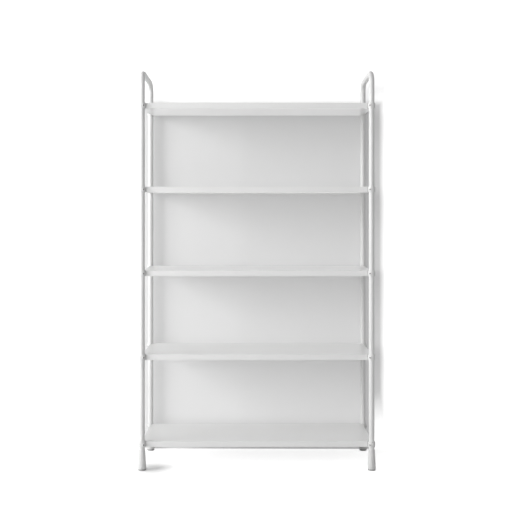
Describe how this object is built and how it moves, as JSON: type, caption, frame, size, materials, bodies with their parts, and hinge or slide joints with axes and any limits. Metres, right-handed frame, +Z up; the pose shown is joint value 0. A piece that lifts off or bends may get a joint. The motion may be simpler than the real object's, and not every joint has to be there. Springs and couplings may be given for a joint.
{
  "type": "bookcase",
  "caption": "Free-standing white bookcase: bent-tube side frames carry flat boards on sliding, screw-locked collars, open at the back, on tapered levelling feet, with wall brackets.",
  "frame": {"origin": "on the floor, under the middle of the case", "axes": "+Z up, front towards -Y, +X to the right as seen from the front"},
  "size_m": [1.0792, 0.3592, 1.8149],
  "materials": {
    "frame_paint": "white powder coat",
    "collar_paint": "white powder coat",
    "bracket_paint": "white powder coat",
    "board_lacquer": "white satin lacquer on fibreboard",
    "sleeve_plastic": "moulded, fine grain",
    "foot_plastic": "moulded, worn below",
    "set_screw_steel": "black oxide",
    "screw_steel": "zinc plated"
  },
  "bodies": {
    "case": {"left_frame": "frame_paint", "right_frame": "frame_paint", "wall_bracket_left": "bracket_paint", "wall_bracket_right": "bracket_paint", "wall_bracket_screws": "screw_steel", "foot_sleeve_front_left": "sleeve_plastic", "foot_sleeve_front_right": "sleeve_plastic", "foot_sleeve_rear_left": "sleeve_plastic", "foot_sleeve_rear_right": "sleeve_plastic", "bottom_shelf": "board_lacquer", "bottom_shelf_collar_screws": "set_screw_steel", "bottom_shelf_lock_screws": "set_screw_steel", "bottom_shelf_collar_front_left": "collar_paint", "bottom_shelf_collar_front_right": "collar_paint", "bottom_shelf_collar_rear_left": "collar_paint", "bottom_shelf_collar_rear_right": "collar_paint", "top_shelf": "board_lacquer", "top_shelf_collar_screws": "set_screw_steel", "top_shelf_lock_screws": "set_screw_steel", "top_shelf_collar_front_left": "collar_paint", "top_shelf_collar_front_right": "collar_paint", "top_shelf_collar_rear_left": "collar_paint", "top_shelf_collar_rear_right": "collar_paint"},
    "lower_shelf_unit": {"lower_shelf": "board_lacquer", "lower_shelf_collar_screws": "set_screw_steel", "lower_shelf_lock_screws": "set_screw_steel", "lower_shelf_collar_front_left": "collar_paint", "lower_shelf_collar_front_right": "collar_paint", "lower_shelf_collar_rear_left": "collar_paint", "lower_shelf_collar_rear_right": "collar_paint"},
    "middle_shelf_unit": {"middle_shelf": "board_lacquer", "middle_shelf_collar_screws": "set_screw_steel", "middle_shelf_lock_screws": "set_screw_steel", "middle_shelf_collar_front_left": "collar_paint", "middle_shelf_collar_front_right": "collar_paint", "middle_shelf_collar_rear_left": "collar_paint", "middle_shelf_collar_rear_right": "collar_paint"},
    "upper_shelf_unit": {"upper_shelf": "board_lacquer", "upper_shelf_collar_screws": "set_screw_steel", "upper_shelf_lock_screws": "set_screw_steel", "upper_shelf_collar_front_left": "collar_paint", "upper_shelf_collar_front_right": "collar_paint", "upper_shelf_collar_rear_left": "collar_paint", "upper_shelf_collar_rear_right": "collar_paint"},
    "front_left_foot": {"levelling_foot_front_left": "foot_plastic"},
    "front_right_foot": {"levelling_foot_front_right": "foot_plastic"},
    "rear_left_foot": {"levelling_foot_rear_left": "foot_plastic"},
    "rear_right_foot": {"levelling_foot_rear_right": "foot_plastic"}
  },
  "joints": [
    {"name": "lower_shelf_slide", "type": "slide", "parent": "case", "child": "lower_shelf_unit", "axis": [0, 0, 1], "range_m": [-0.16, 0.16]},
    {"name": "middle_shelf_slide", "type": "slide", "parent": "case", "child": "middle_shelf_unit", "axis": [0, 0, 1], "range_m": [-0.16, 0.16]},
    {"name": "upper_shelf_slide", "type": "slide", "parent": "case", "child": "upper_shelf_unit", "axis": [0, 0, 1], "range_m": [-0.16, 0.16]},
    {"name": "front_left_foot_travel", "type": "slide", "parent": "case", "child": "front_left_foot", "axis": [0, 0, 1], "range_m": [-0.012, 0]},
    {"name": "front_right_foot_travel", "type": "slide", "parent": "case", "child": "front_right_foot", "axis": [0, 0, 1], "range_m": [-0.012, 0]},
    {"name": "rear_left_foot_travel", "type": "slide", "parent": "case", "child": "rear_left_foot", "axis": [0, 0, 1], "range_m": [-0.012, 0]},
    {"name": "rear_right_foot_travel", "type": "slide", "parent": "case", "child": "rear_right_foot", "axis": [0, 0, 1], "range_m": [-0.012, 0]}
  ]
}
